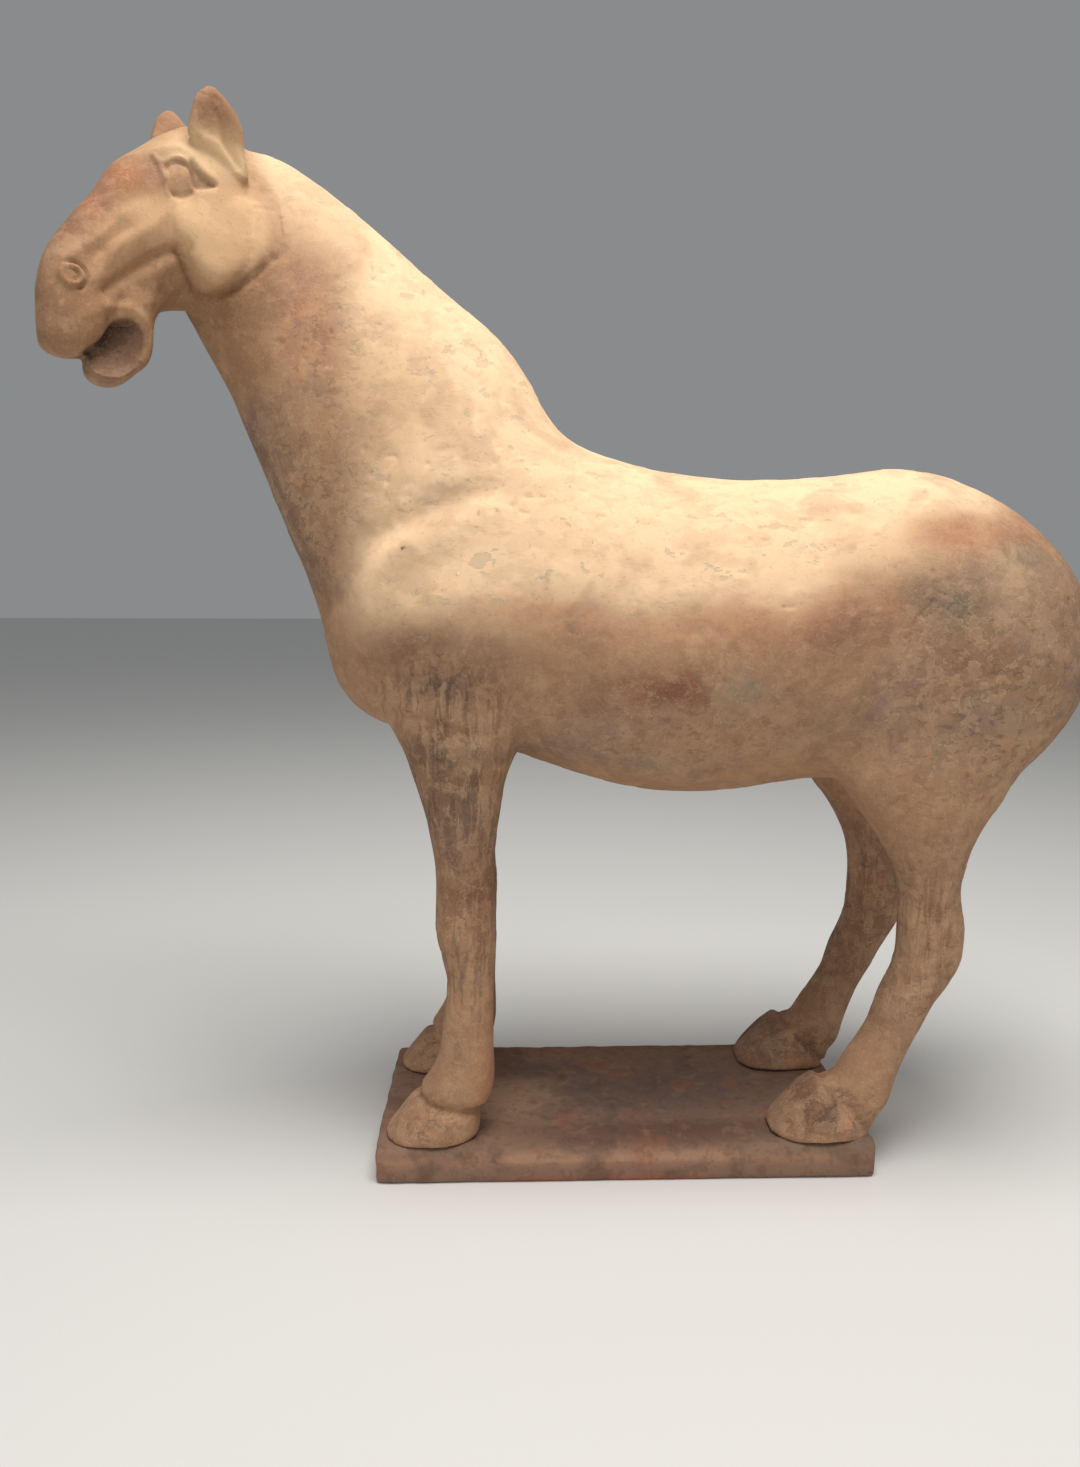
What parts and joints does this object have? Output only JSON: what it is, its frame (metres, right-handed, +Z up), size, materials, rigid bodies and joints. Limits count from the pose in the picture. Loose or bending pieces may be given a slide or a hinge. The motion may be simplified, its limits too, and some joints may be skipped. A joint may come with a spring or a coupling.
{
  "type": "pottery horse figure on plinth",
  "caption": "Standing earthenware horse with turned head, open mouth and pricked ears on a flat rectangular clay plinth.",
  "frame": {"origin": "centre of the plinth's underside", "axes": "+X towards the rump, +Y towards the horse's right side, +Z up; the head is at -X and is turned towards -Y"},
  "size_m": [0.6641, 0.2018, 0.683],
  "materials": {
    "fired_clay": "unglazed fired earthenware with worn cream slip and burial soil",
    "plinth_clay": "unglazed fired earthenware, umber brown with soil"
  },
  "bodies": {
    "root": {"horse": "fired_clay", "plinth": "plinth_clay"}
  },
  "joints": []
}
